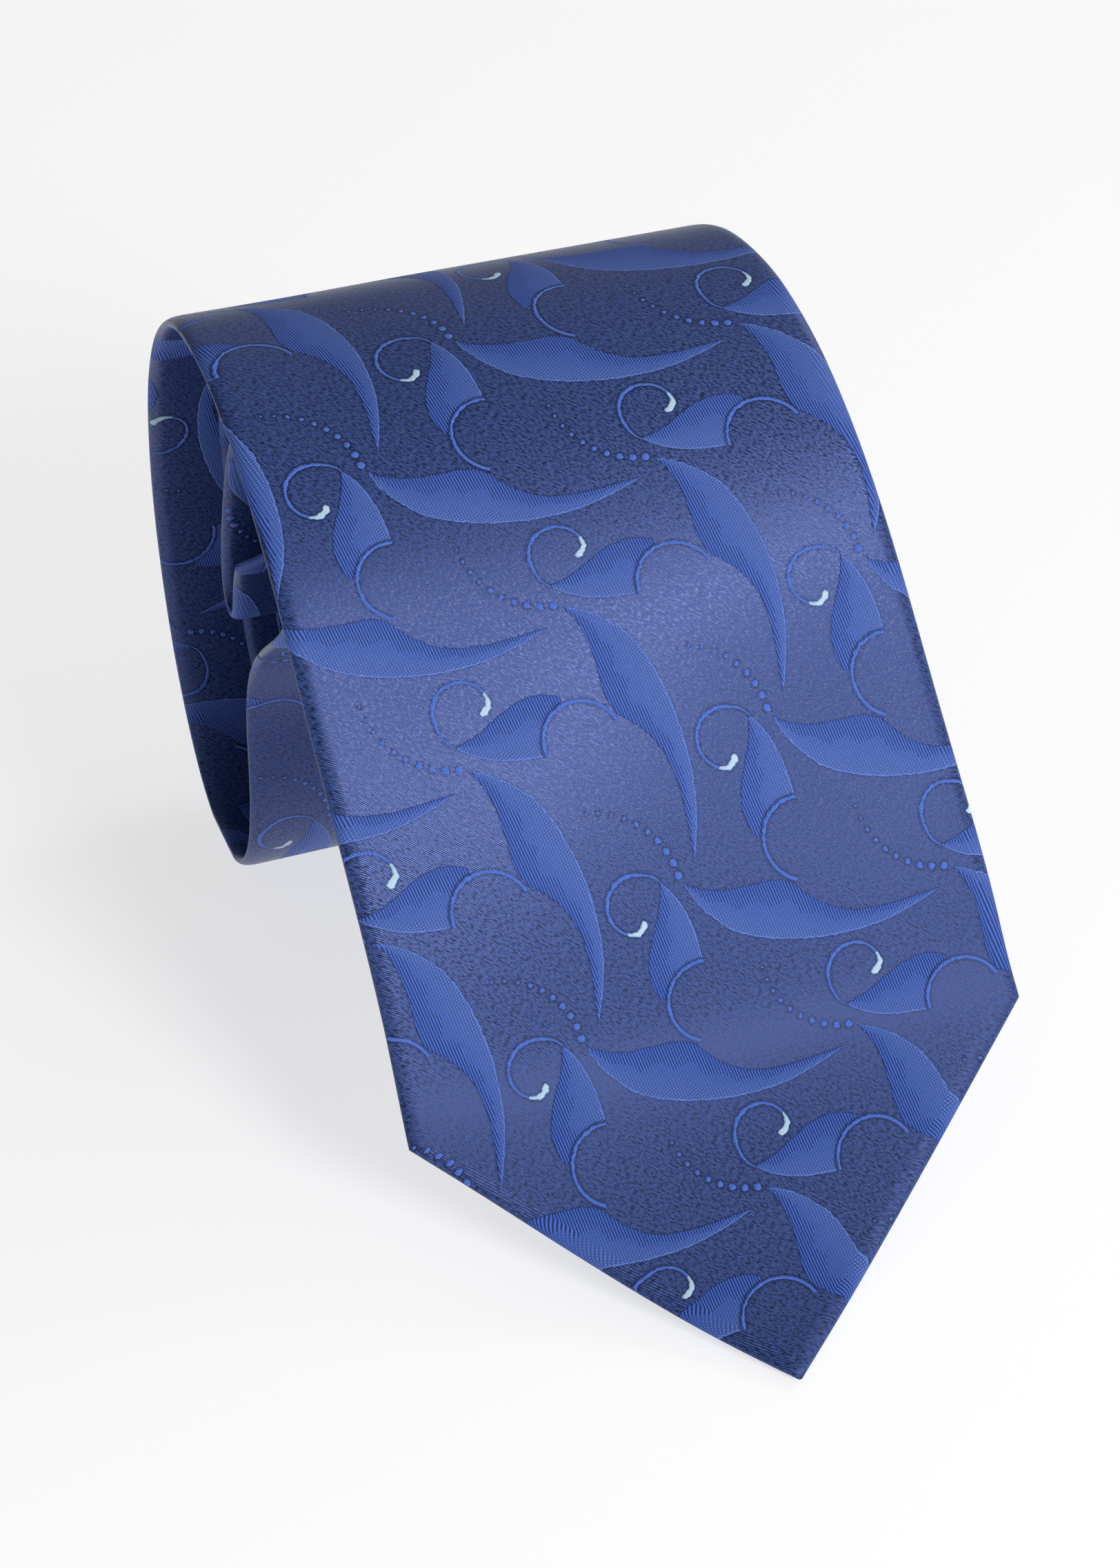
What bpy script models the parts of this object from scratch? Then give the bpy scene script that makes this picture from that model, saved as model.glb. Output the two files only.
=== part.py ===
"""A silk jacquard necktie, rolled up loosely from its narrow end.

The tie is designed flat: x runs across it, s along it from the tip of the wide blade, and
n out of its face. place() then carries each point onto the roll. The front of the wide
blade hangs over the roll like a flap, with its tip on the table, and swings about the line
where it leaves the roll. The roll's turns lie in the Y-Z plane and its ends face -X and +X.
"""
import math

import bmesh
import bpy
import numpy as np
from mathutils import Vector

MM = 0.001

# Flat tie, in millimetres
LENGTH = 1450.0
BLADE_HALF = 45.0          # half the blade's width, and the depth of its square point
NECK_HALF = 18.0
TAIL_HALF = 21.0           # half the tail's width, and the depth of its square point
NECK_START = 815.0
NECK_END = 930.0

# Cloth build-up, in millimetres
SHELL = 0.35
INTERLINING = 0.8
LAYER_GAP = 0.15           # between the shell and what it wraps
THICKNESS = 2 * SHELL + INTERLINING + 2 * LAYER_GAP
LINING = 0.2
SEAM_HALF = 0.5            # half the gap between the shell's two back edges
CUT = 0.4                  # gap between two panels that a seam joins
THREAD_RADIUS = 0.15

# Where the pieces lie along the tie, in millimetres from the tip
BLADE_HEM = 9.0
BLADE_V_END = 112.0
TAIL_HEM = 6.0
TAIL_V_LENGTH = 58.0
BEND_LINE = 135.0          # where the blade leaves the roll
BLADE_SEAM = 640.0
TAIL_SEAM = 1000.0
LINING_JOIN = 900.0
LABEL_START = 223.0
LABEL_LENGTH = 20.0
LABEL_HALF = 24.0
KEEPER_START = 250.0
KEEPER_WIDTH = 11.0
KEEPER_HALF = 20.0
TRIM = 0.3                 # thickness of the keeper loop and the label

# Where each layer starts or ends, in the same distances
TIP = 1.2
FRONT_END = BEND_LINE - CUT / 2
ROLL_START = BEND_LINE + CUT / 2
BLADE_LINING_START = 6.0
BLADE_TIPPING_START = BLADE_HEM + 2.5
BLADE_TIPPING_END = BLADE_V_END - 4
TAIL_TIP = LENGTH - 1.2
TAIL_V_START = LENGTH - TAIL_V_LENGTH
TAIL_LINING_END = LENGTH - BLADE_LINING_START
TAIL_TIPPING_START = TAIL_V_START + 4
TAIL_TIPPING_END = LENGTH - TAIL_HEM - 2.5
MARKS = sorted((
    TIP, BLADE_LINING_START, BLADE_HEM + SEAM_HALF, BLADE_TIPPING_START, BLADE_HALF,
    BLADE_TIPPING_END, BLADE_V_END, FRONT_END, ROLL_START, LABEL_START,
    LABEL_START + LABEL_LENGTH, KEEPER_START, KEEPER_START + KEEPER_WIDTH,
    BLADE_SEAM - CUT / 2, BLADE_SEAM + CUT / 2, NECK_START, LINING_JOIN - CUT / 2,
    LINING_JOIN + CUT / 2, NECK_END, TAIL_SEAM - CUT / 2, TAIL_SEAM + CUT / 2, TAIL_V_START,
    TAIL_TIPPING_START, LENGTH - TAIL_HALF, TAIL_TIPPING_END, TAIL_LINING_END,
    LENGTH - TAIL_HEM - SEAM_HALF, TAIL_TIP,
))

# The roll: its outermost and innermost turn, each as a closed line of (y, z) in millimetres,
# from the crest over the back, under the bottom and up the front
TURNS = 6.9
OUTER_TURN = (
    (114, 101.2), (132, 96.6), (145.5, 81.5), (153, 62), (156, 42.5), (154.6, 20),
    (147, 2.6), (136.4, -3.2), (125.4, -1.4), (117.8, 8.0), (115.2, 22), (115.6, 38),
    (108, 52), (95, 64), (87.5, 78), (93, 93),
)
INNER_TURN = (
    (115, 82.6), (123, 81), (129, 75.3), (133.2, 66.2), (136.5, 57), (138.4, 50),
    (138.6, 46.2), (137.4, 44.6), (135.8, 44.4), (134.2, 45.4), (132.8, 48), (130.6, 52.5),
    (125.5, 59.5), (115.5, 69), (109.6, 76), (109.8, 81.2),
)
# The blade's middle line from the tip on the table up to the crest
FRONT_LINE = (
    (0, 0.9), (19.3, 5.2), (40, 18.5), (48.4, 30.8), (62.6, 57.2), (79.3, 82.1),
    (94.3, 95.3), (103.3, 99.4), (114, 101.2), (132, 96.6),
)
# How far the tie's middle line drifts sideways: (s, x) in millimetres
DRIFT = (
    (0, 0.0), (45, 4.2), (90, 0.9), (150, -3.6), (200, -6.4), (300, -7.4), (490, -5.6),
    (700, -4.0), (1000, -4.0), (1200, -6.0), (1300, -12.0), (1380, -17.5), (1450, -18.5),
)
SMOOTHING = 3.0            # mm along the tie over which the middle line is faired
FACET_SAG = 0.16           # most that a straight facet may stray from the curved line, in mm
LONGEST_FACET = 12.0
SHORTEST_FACET = 2.2


def spline(knots, values, at):
    """A natural cubic spline through values at knots, read at each of at."""
    knots = np.asarray(knots, float)
    values = np.asarray(values, float)
    if values.ndim == 1:
        values = values[:, None]
    step = np.diff(knots)
    slope = np.diff(values, axis=0) / step[:, None]
    count = len(knots)
    matrix = np.eye(count)
    right = np.zeros((count, values.shape[1]))
    for i in range(1, count - 1):
        matrix[i, i - 1] = step[i - 1]
        matrix[i, i] = 2 * (step[i - 1] + step[i])
        matrix[i, i + 1] = step[i]
        right[i] = 6 * (slope[i] - slope[i - 1])
    bend = np.linalg.solve(matrix, right)
    at = np.clip(np.asarray(at, float), knots[0], knots[-1])
    i = np.clip(np.searchsorted(knots, at, side="right") - 1, 0, count - 2)
    a = ((knots[i + 1] - at) / step[i])[:, None]
    b = 1 - a
    bowed = (a**3 - a) * bend[i] + (b**3 - b) * bend[i + 1]
    return a * values[i] + b * values[i + 1] + bowed * (step[i] ** 2)[:, None] / 6


def closed_line(points, turn):
    """The point at each share of a turn round a smooth closed line."""
    count = len(points)
    lap = 4
    padded = [points[i % count] for i in range(-lap, count + lap)]
    return spline(range(-lap, count + lap), padded, (np.asarray(turn) % 1.0) * count)


def evenly(line, spacing):
    """The line read again at even steps, and the distance along it of each point."""
    along = np.r_[0, np.cumsum(np.hypot(*np.diff(line, axis=0).T))]
    steps = np.arange(0, along[-1], spacing)
    return np.stack([np.interp(steps, along, line[:, k]) for k in (0, 1)], axis=1), steps


def middle_line():
    """The tie's middle line in the Y-Z plane, every half millimetre."""
    spacing = 0.5
    corners = np.arange(len(FRONT_LINE), dtype=float)
    front = spline(corners, FRONT_LINE, np.linspace(0, len(FRONT_LINE) - 2, 600))
    turn = np.linspace(0, TURNS, 4000)
    inward = (turn / TURNS)[:, None]
    roll = (1 - inward) * closed_line(OUTER_TURN, turn) + inward * closed_line(INNER_TURN, turn)
    line, _ = evenly(np.concatenate([front, roll[1:]]), spacing)
    reach = int(3 * SMOOTHING / spacing)
    weights = np.exp(-0.5 * (np.arange(-reach, reach + 1) * spacing / SMOOTHING) ** 2)
    weights /= weights.sum()
    # Past both ends the line is mirrored through its end point, so the ends stay in place.
    start = 2 * line[0] - line[reach:0:-1]
    end = 2 * line[-1] - line[-2:-reach - 2:-1]
    padded = np.concatenate([start, line, end])
    line = np.stack([np.convolve(padded[:, k], weights, "valid") for k in (0, 1)], axis=1)
    # The cloth lies flat where it rests on the table.
    line[:, 1] = np.maximum(line[:, 1], THICKNESS / 2)
    return evenly(line, spacing)


LINE, ALONG = middle_line()
TANGENT = np.gradient(LINE, axis=0)
TANGENT /= np.hypot(*TANGENT.T)[:, None]
CURVATURE = np.abs(np.gradient(np.unwrap(np.arctan2(TANGENT[:, 1], TANGENT[:, 0])), ALONG))


def drift(s):
    knots, offsets = zip(*DRIFT)
    return float(spline(knots, offsets, [s])[0, 0])


def half_width(s):
    """Half the tie's width: two square points, a long taper, and a narrow neck."""
    from_end = LENGTH - s
    if s < BLADE_HALF:
        return s
    if s < NECK_START:
        return np.interp(s, (BLADE_HALF, NECK_START), (BLADE_HALF, NECK_HALF))
    if s < NECK_END:
        return NECK_HALF
    return min(from_end, np.interp(s, (NECK_END, LENGTH - TAIL_HALF), (NECK_HALF, TAIL_HALF)))


def opening(s):
    """Half the distance between the shell's two back edges: a V at each end of the tie."""
    from_end = LENGTH - s
    if s < BLADE_V_END:
        edge = BLADE_HALF - BLADE_HEM
        closing = np.interp(s, (BLADE_HALF, BLADE_V_END), (edge, SEAM_HALF))
        return max(SEAM_HALF, min(half_width(s) - BLADE_HEM, closing))
    if from_end < TAIL_V_LENGTH:
        edge = TAIL_HALF - TAIL_HEM
        closing = np.interp(from_end, (TAIL_HALF, TAIL_V_LENGTH), (edge, SEAM_HALF))
        return max(SEAM_HALF, min(half_width(s) - TAIL_HEM, closing))
    return SEAM_HALF


def at(s):
    """(y, z) of the middle line at s, and the direction out of the tie's face there."""
    y, z, ty, tz = (
        float(np.interp(s, ALONG, column))
        for column in (LINE[:, 0], LINE[:, 1], TANGENT[:, 0], TANGENT[:, 1])
    )
    size = math.hypot(ty, tz)
    return (y, z), (-tz / size, ty / size)


def box_middle():
    """x and y of the middle of the rolled tie's box, which is put over the origin."""
    where = np.arange(1.0, LENGTH - 1.0)
    halves = np.array([half_width(s) for s in where])
    middles = np.array([drift(s) for s in where])
    back = max(at(s)[0][0] + at(s)[1][0] * THICKNESS / 2 for s in where)
    front = at(TIP)[0][0]
    return (min(middles - halves) + max(middles + halves)) / 2, (front + back) / 2


MIDDLE_X, MIDDLE_Y = box_middle()


def place(x, s, n):
    """A point of the flat tie on the rolled tie, in metres."""
    (y, z), (ny, nz) = at(s)
    return Vector((x + drift(s) - MIDDLE_X, y + n * ny - MIDDLE_Y, z + n * nz)) * MM


def shared_stations():
    """Distances along the tie at which every layer has a section, so that layers stay parallel.

    They lie closer together where the line bends more, and wherever a piece starts, ends or
    changes its outline.
    """
    found = [TIP]
    for low, high in zip(MARKS, MARKS[1:]):
        inside = (ALONG >= low) & (ALONG <= high)
        facet = np.sqrt(8 * FACET_SAG / np.maximum(CURVATURE[inside], 1e-4))
        sections = np.r_[0, np.cumsum(1 / np.clip(facet, SHORTEST_FACET, LONGEST_FACET))]
        sections *= ALONG[1] - ALONG[0]
        spread = np.linspace(low, high, len(sections))
        count = max(1, math.ceil(sections[-1]))
        reached = np.linspace(0, sections[-1], count + 1)[1:]
        found += [float(s) for s in np.interp(reached, sections, spread)]
    return found


def between(start, end):
    return [s for s in STATIONS if start - 1e-6 <= s <= end + 1e-6]


STATIONS = shared_stations()


def material(name, colour, roughness):
    made = bpy.data.materials.get(name) or bpy.data.materials.new(name)
    made.use_nodes = True
    shader = made.node_tree.nodes["Principled BSDF"]
    shader.inputs["Base Color"].default_value = (*colour, 1)
    shader.inputs["Roughness"].default_value = roughness
    shader.inputs["Metallic"].default_value = 0
    made.diffuse_color = (*colour, 1)
    return made


def add_object(name, data, finish):
    made = bpy.data.objects.new(name, data)
    data.materials.append(finish)
    TIE.objects.link(made)
    return made


def strip(name, where, section, thickness, finish):
    """Cloth of one thickness: an open surface through each station's section, made solid."""
    bm = bmesh.new()
    rows = [[bm.verts.new(place(x, s, n)) for x, n in section(s)] for s in where]
    for row, following in zip(rows, rows[1:]):
        for i in range(len(row) - 1):
            bm.faces.new((row[i], row[i + 1], following[i + 1], following[i]))
    bmesh.ops.recalc_face_normals(bm, faces=bm.faces)
    mesh = bpy.data.meshes.new(name)
    bm.to_mesh(mesh)
    bm.free()
    made = add_object(name, mesh, finish)
    solid = made.modifiers.new("Thickness", "SOLIDIFY")
    solid.thickness = thickness * MM
    solid.offset = 0
    solid.use_even_offset = True
    return made


def shell_section(s):
    """Across the folded shell: in from a back edge, round a fold, over the face, and back."""
    half = half_width(s) - SHELL / 2
    deep = (THICKNESS - SHELL) / 2
    edge = opening(s)
    return [(edge, -deep), (half, -deep), (half, deep), (-half, deep), (-half, -deep), (-edge, -deep)]


def shell(name, start, end):
    return strip(name, between(start, end), shell_section, SHELL, SILK)


def interlining(name, start, end):
    margin = SHELL + 3 * LAYER_GAP

    def section(s):
        half = half_width(s) - margin
        return [(half, 0), (-half, 0)]

    return strip(name, between(start, end), section, INTERLINING, WOOL)


def tipping(name, start, end):
    """The lining that fills the V between the shell's back edges."""
    margin = 0.3
    deep = (THICKNESS - LINING) / 2

    def section(s):
        half = opening(s) - margin
        return [(half, -deep), (-half, -deep)]

    return strip(name, between(start, end), section, LINING, LINING_SILK)


def backing_patch(name, start, length, half, finish):
    """A flat patch that lies on the tie's back."""
    deep = THICKNESS / 2 + LAYER_GAP + TRIM / 2
    across = [(half, -deep), (-half, -deep)]
    return strip(name, between(start, start + length), lambda s: across, TRIM, finish)


def thread(name, points, radius=THREAD_RADIUS, closed=False):
    """A sewing thread through the points, as a thin four-sided curve."""
    curve = bpy.data.curves.new(name, "CURVE")
    curve.dimensions = "3D"
    curve.bevel_depth = radius * MM
    curve.bevel_resolution = 0
    curve.use_fill_caps = True
    run = curve.splines.new("POLY")
    run.points.add(len(points) - 1)
    for point, where in zip(run.points, points):
        point.co = (*where, 1)
    run.use_cyclic_u = closed
    return add_object(name, curve, THREAD)


def seam_thread(name, start, end):
    """The slip stitch that closes the shell's back edges, in the gap between them."""
    deep = (THICKNESS - SHELL) / 2
    return thread(name, [place(0, s, -deep) for s in between(start, end)])


def cross_seam_thread(name, s):
    """The thread of a seam between two panels, which runs round the folded shell in its gap."""
    half = half_width(s) - SHELL / 2
    deep = (THICKNESS - SHELL) / 2
    edge = SEAM_HALF + 0.2
    corners = [(edge, -deep), (half, -deep), (half, deep), (-half, deep), (-half, -deep), (-edge, -deep)]
    return thread(name, [place(x, s, n) for x, n in corners], radius=0.12)


def edge_stitch(name, edge, start, length):
    """The line of thread that sews one edge of a patch to the tie's back."""
    beside = math.copysign(0.5, edge)
    n = -(THICKNESS / 2 + LAYER_GAP / 2 + THREAD_RADIUS)
    return thread(name, [place(edge + beside, s, n) for s in between(start, start + length)])


def bar(name, x, s, across, along):
    """A small bar of thread sewn on the tie's back."""
    high = 0.3
    n = -(THICKNESS / 2 + LAYER_GAP + high / 2)
    bpy.ops.mesh.primitive_cube_add(size=1)
    made = bpy.context.object
    made.name = made.data.name = name
    _, (ny, nz) = at(s)
    made.location = place(x, s, n)
    made.rotation_euler = (math.atan2(-ny, nz), 0, 0)
    made.scale = (across * MM, along * MM, high * MM)
    bpy.context.view_layer.update()
    bpy.ops.object.transform_apply(location=False, rotation=False, scale=True)
    for holder in list(made.users_collection):
        holder.objects.unlink(made)
    TIE.objects.link(made)
    made.data.materials.append(THREAD)
    return made


def slack_loop(name, s):
    """The spare loop of the slip stitch's thread, left at the end of the seam."""
    reach = 5.0
    spread = 1.6
    out = -(THICKNESS / 2 + 2 * LAYER_GAP + 0.3)
    turns = [2 * math.pi * i / 20 for i in range(20)]
    points = [place(spread * math.sin(a), s + reach * (1 - math.cos(a)) / 2, out) for a in turns]
    return thread(name, points, closed=True)


def hang_on(pivot, objects):
    for each in objects:
        each.parent = pivot
        each.matrix_parent_inverse = pivot.matrix_world.inverted()


for old in list(bpy.data.objects):
    bpy.data.objects.remove(old)
TIE = bpy.data.collections.new("Necktie")
bpy.context.scene.collection.children.link(TIE)
SILK = material("Jacquard silk", (0.052, 0.066, 0.21), 0.4)
LINING_SILK = material("Tipping silk", (0.035, 0.045, 0.16), 0.38)
WOOL = material("Wool interlining", (0.80, 0.78, 0.72), 0.95)
THREAD = material("Silk thread", (0.04, 0.05, 0.17), 0.55)
LABEL = material("Woven label", (0.02, 0.028, 0.09), 0.5)

# The front of the wide blade, which hangs over the roll
front = [
    shell("front_blade_shell", TIP, FRONT_END),
    interlining("front_blade_interlining", BLADE_LINING_START, FRONT_END),
    tipping("blade_tipping", BLADE_TIPPING_START, BLADE_TIPPING_END),
    seam_thread("front_slip_stitch", BLADE_V_END, FRONT_END),
    bar("blade_bar_tack", 0, BLADE_V_END + 2, 7, 1.2),
]

# The rolled rest of the tie
shell("rolled_blade_shell", ROLL_START, BLADE_SEAM - CUT / 2)
shell("neck_shell", BLADE_SEAM + CUT / 2, TAIL_SEAM - CUT / 2)
shell("tail_shell", TAIL_SEAM + CUT / 2, TAIL_TIP)
interlining("blade_interlining", ROLL_START, LINING_JOIN - CUT / 2)
interlining("tail_interlining", LINING_JOIN + CUT / 2, TAIL_LINING_END)
tipping("tail_tipping", TAIL_TIPPING_START, TAIL_TIPPING_END)
seam_thread("slip_stitch", ROLL_START, TAIL_V_START)
bar("tail_bar_tack", 0, TAIL_V_START - 2, 6, 1.2)
cross_seam_thread("blade_seam_thread", BLADE_SEAM)
cross_seam_thread("tail_seam_thread", TAIL_SEAM)
slack_loop("slack_loop", TAIL_V_START)
backing_patch("keeper_loop", KEEPER_START, KEEPER_WIDTH, KEEPER_HALF, SILK)
backing_patch("blank_label", LABEL_START, LABEL_LENGTH, LABEL_HALF, LABEL)
for side, sign in (("left", -1), ("right", 1)):
    edge_stitch(f"keeper_stitch_{side}", sign * KEEPER_HALF, KEEPER_START, KEEPER_WIDTH)
    edge_stitch(f"label_stitch_{side}", sign * LABEL_HALF, LABEL_START, LABEL_LENGTH)

# The front blade's pieces turn about the line where the blade leaves the roll
hinge = bpy.data.objects.new("blade_hinge", None)
TIE.objects.link(hinge)
hinge.location = place(-drift(BEND_LINE) + MIDDLE_X, BEND_LINE, THICKNESS / 2)
bpy.context.view_layer.update()
hang_on(hinge, front)
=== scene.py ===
"""Looks of the rolled jacquard necktie: cloth, linings, threads, label, light and camera.

The tie is described flat, as in the CAD: x across it, s along it from the blade's tip, and n
out of its face, in millimetres. The middle line then carries each point onto the roll.
"""

import math

import bmesh
import bpy
import numpy as np
from mathutils import Matrix, Vector


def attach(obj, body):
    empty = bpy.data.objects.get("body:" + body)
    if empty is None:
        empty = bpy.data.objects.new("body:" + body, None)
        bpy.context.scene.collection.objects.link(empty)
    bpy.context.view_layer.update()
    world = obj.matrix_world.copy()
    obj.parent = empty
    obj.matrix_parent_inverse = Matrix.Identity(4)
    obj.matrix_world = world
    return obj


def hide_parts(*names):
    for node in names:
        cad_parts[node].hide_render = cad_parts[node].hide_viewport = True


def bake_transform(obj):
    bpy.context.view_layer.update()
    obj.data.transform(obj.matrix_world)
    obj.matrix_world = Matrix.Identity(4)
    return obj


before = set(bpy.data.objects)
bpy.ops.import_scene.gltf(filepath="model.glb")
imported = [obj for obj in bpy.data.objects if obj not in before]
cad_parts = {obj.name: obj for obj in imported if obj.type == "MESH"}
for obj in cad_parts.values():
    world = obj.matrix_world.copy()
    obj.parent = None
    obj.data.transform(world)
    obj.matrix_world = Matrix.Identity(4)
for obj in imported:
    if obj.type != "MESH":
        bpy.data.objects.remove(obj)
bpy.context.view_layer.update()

MM = 0.001

# ---------------------------------------------------------------------------------------------
# The tie's measures, as in part.py

LENGTH = 1450.0
BLADE_HALF = 45.0
NECK_HALF = 18.0
TAIL_HALF = 21.0
NECK_START = 815.0
NECK_END = 930.0
SHELL = 0.35
THICKNESS = 1.8
BLADE_HEM = 9.0
BLADE_V_END = 112.0
TAIL_HEM = 6.0
TAIL_V_LENGTH = 58.0
BLADE_SEAM = 640.0
TAIL_SEAM = 1000.0
LINING_JOIN = 900.0
LABEL_START, LABEL_LENGTH, LABEL_HALF = 223.0, 20.0, 24.0
KEEPER_START, KEEPER_WIDTH, KEEPER_HALF = 250.0, 11.0, 20.0
TURNS = 6.9
SMOOTHING = 3.0
# The roll's outermost and innermost turns and the blade's line are (y, z), and DRIFT is (s, x).
# Six points of FRONT_LINE, from (40, 18.5) to (103.3, 99.4), and the values of DRIFT from 45 to
# 300 are results of a camera fit to the photo, rounded to 0.1 mm.
OUTER_TURN = (
    (114, 101.2), (132, 96.6), (145.5, 81.5), (153, 62), (156, 42.5), (154.6, 20),
    (147, 2.6), (136.4, -3.2), (125.4, -1.4), (117.8, 8.0), (115.2, 22), (115.6, 38),
    (108, 52), (95, 64), (87.5, 78), (93, 93),
)
INNER_TURN = (
    (115, 82.6), (123, 81), (129, 75.3), (133.2, 66.2), (136.5, 57), (138.4, 50),
    (138.6, 46.2), (137.4, 44.6), (135.8, 44.4), (134.2, 45.4), (132.8, 48), (130.6, 52.5),
    (125.5, 59.5), (115.5, 69), (109.6, 76), (109.8, 81.2),
)
FRONT_LINE = (
    (0, 0.9), (19.3, 5.2), (40, 18.5), (48.4, 30.8), (62.6, 57.2), (79.3, 82.1),
    (94.3, 95.3), (103.3, 99.4), (114, 101.2), (132, 96.6),
)
DRIFT = (
    (0, 0.0), (45, 4.2), (90, 0.9), (150, -3.6), (200, -6.4), (300, -7.4), (490, -5.6),
    (700, -4.0), (1000, -4.0), (1200, -6.0), (1300, -12.0), (1380, -17.5), (1450, -18.5),
)

# ---------------------------------------------------------------------------------------------
# How the visible cloth is made, in millimetres

SPLIT = 358.0              # where the bending piece of shell ends, hidden inside the roll
DEEP = (THICKNESS - SHELL) / 2       # from the tie's middle surface to the middle of its silk
FOLD = 2.2                 # how far a fold's rounding reaches in from the edge
# How far the weave is shifted along the tie, at distances from the point: (distance, shift).
# Set so that the figure falls where the photo shows it.
GIVE = (
    (0, 3.2), (35, 3.1), (50, 2.8), (80, 1.5), (108, 0.2), (131, 2.0), (150, 3.4), (200, 3.6),
)
# Columns of faces across the tie's face, round each fold, and across each half of its back
FACE_COLUMNS = 44
FOLD_COLUMNS = 12
BACK_COLUMNS = 18
SEAM_GAP = 0.12            # half the least distance between the shell's two back edges
THREAD_RADIUS = 0.12
THREAD_SIDES = 5           # corners round the finest threads


def spline(knots, values, at):
    """A natural cubic spline through values at knots, read at each of at."""
    knots = np.asarray(knots, float)
    values = np.asarray(values, float)
    if values.ndim == 1:
        values = values[:, None]
    step = np.diff(knots)
    slope = np.diff(values, axis=0) / step[:, None]
    count = len(knots)
    matrix = np.eye(count)
    right = np.zeros((count, values.shape[1]))
    for i in range(1, count - 1):
        matrix[i, i - 1] = step[i - 1]
        matrix[i, i] = 2 * (step[i - 1] + step[i])
        matrix[i, i + 1] = step[i]
        right[i] = 6 * (slope[i] - slope[i - 1])
    bend = np.linalg.solve(matrix, right)
    at = np.clip(np.asarray(at, float), knots[0], knots[-1])
    i = np.clip(np.searchsorted(knots, at, side="right") - 1, 0, count - 2)
    a = ((knots[i + 1] - at) / step[i])[:, None]
    b = 1 - a
    bowed = (a**3 - a) * bend[i] + (b**3 - b) * bend[i + 1]
    return a * values[i] + b * values[i + 1] + bowed * (step[i] ** 2)[:, None] / 6


def closed_line(points, turn):
    """A smooth closed curve through points, read at each turn, where 1 is once round."""
    count = len(points)
    lap = 4
    padded = [points[i % count] for i in range(-lap, count + lap)]
    return spline(range(-lap, count + lap), padded, (np.asarray(turn) % 1.0) * count)


def evenly(line, spacing):
    """The line again with its points spacing apart, and how far along it each one is."""
    along = np.r_[0, np.cumsum(np.hypot(*np.diff(line, axis=0).T))]
    steps = np.arange(0, along[-1], spacing)
    return np.stack([np.interp(steps, along, line[:, k]) for k in (0, 1)], axis=1), steps


def middle_line():
    """The tie's middle line in the Y-Z plane, every half millimetre."""
    spacing = 0.5
    shares = np.arange(len(FRONT_LINE), dtype=float)
    front = spline(shares, FRONT_LINE, np.linspace(0, len(FRONT_LINE) - 2, 600))
    turn = np.linspace(0, TURNS, 4000)
    inward = (turn / TURNS)[:, None]
    roll = (1 - inward) * closed_line(OUTER_TURN, turn) + inward * closed_line(INNER_TURN, turn)
    line, _ = evenly(np.concatenate([front, roll[1:]]), spacing)
    reach = int(3 * SMOOTHING / spacing)
    weights = np.exp(-0.5 * (np.arange(-reach, reach + 1) * spacing / SMOOTHING) ** 2)
    weights /= weights.sum()
    start = 2 * line[0] - line[reach:0:-1]
    end = 2 * line[-1] - line[-2:-reach - 2:-1]
    padded = np.concatenate([start, line, end])
    line = np.stack([np.convolve(padded[:, k], weights, "valid") for k in (0, 1)], axis=1)
    line[:, 1] = np.maximum(line[:, 1], THICKNESS / 2)
    return evenly(line, spacing)


LINE, ALONG = middle_line()
TANGENT = np.gradient(LINE, axis=0)
TANGENT /= np.hypot(*TANGENT.T)[:, None]


def drift(s):
    """How far the tie's middle lies to the side at s, because it isn't rolled up straight."""
    knots, offsets = zip(*DRIFT)
    return spline(knots, offsets, np.atleast_1d(s))[:, 0]


def half_width(s):
    """Half the tie's width: two square points, a long taper, and a narrow neck."""
    s = np.asarray(s, float)
    knots = (0, BLADE_HALF, NECK_START, NECK_END, LENGTH - TAIL_HALF, LENGTH)
    halves = (0, BLADE_HALF, NECK_HALF, NECK_HALF, TAIL_HALF, 0)
    return np.interp(s, knots, halves)


def opening(s):
    """Half the distance between the shell's two back edges: a V at each end of the tie."""
    s = np.asarray(s, float)
    from_end = LENGTH - s
    blade = np.interp(s, (BLADE_HALF, BLADE_V_END), (BLADE_HALF - BLADE_HEM, 0))
    blade = np.minimum(half_width(s) - BLADE_HEM, blade)
    tail = np.interp(from_end, (TAIL_HALF, TAIL_V_LENGTH), (TAIL_HALF - TAIL_HEM, 0))
    tail = np.minimum(half_width(s) - TAIL_HEM, tail)
    return np.maximum(SEAM_GAP, np.where(s < LENGTH / 2, blade, tail))


def middle_at(s):
    """y, z of the middle line at s, and the direction out of the tie's face there."""
    s = np.asarray(s, float)
    y, z, ty, tz = (
        np.interp(s, ALONG, column)
        for column in (LINE[:, 0], LINE[:, 1], TANGENT[:, 0], TANGENT[:, 1])
    )
    size = np.hypot(ty, tz)
    return y, z, -tz / size, ty / size


def box_middle():
    """The middle of the rolled tie in x and in y, which is the frame's origin."""
    where = np.arange(1.0, LENGTH - 1.0)
    halves = half_width(where)
    middles = drift(where)
    y, _, ny, _ = middle_at(where)
    front = middle_at(1.2)[0]
    back = (y + ny * THICKNESS / 2).max()
    return ((middles - halves).min() + (middles + halves).max()) / 2, (front + back) / 2


MIDDLE_X, MIDDLE_Y = box_middle()


def ripple(x, s):
    """How far the cloth stands out of its smooth curve: soft waves, and a dent in the crest."""
    free = np.clip((s - 14) / 24, 0, 1) * np.clip((128 - s) / 24, 0, 1)
    free = free * free * (3 - 2 * free)
    waves = 0.42 * np.sin(0.07 * x - 0.055 * s + 1.0) + 0.25 * np.sin(0.05 * x + 0.11 * s)
    dent = 0.7 * np.exp(-(((x + 24) / 12) ** 2) - ((s - 156) / 16) ** 2)
    return waves * free - dent


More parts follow.
